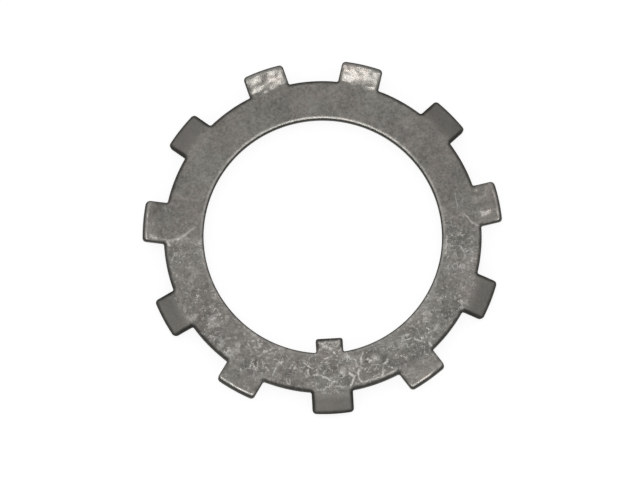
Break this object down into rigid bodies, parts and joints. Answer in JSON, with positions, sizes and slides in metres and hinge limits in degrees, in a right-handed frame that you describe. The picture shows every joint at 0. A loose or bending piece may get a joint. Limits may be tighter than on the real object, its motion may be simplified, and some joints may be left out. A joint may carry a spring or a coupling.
{
  "type": "tab lock washer",
  "caption": "Flat steel ring washer with square locking tabs around its rim, set by turns up and down, and a key tang in its bore.",
  "frame": {"origin": "on the bore's axis, at the ring's back face", "axes": "+Z along the bore's axis towards the face side of the blank, +Y from the tang's tip to the bore's axis"},
  "size_m": [0.0906, 0.0899, 0.0034],
  "materials": {
    "steel": "dull mid-grey rolled steel with a thin film of oil, pale scuffs and burnished edges"
  },
  "bodies": {
    "root": {"lock_washer": "steel"}
  },
  "joints": []
}
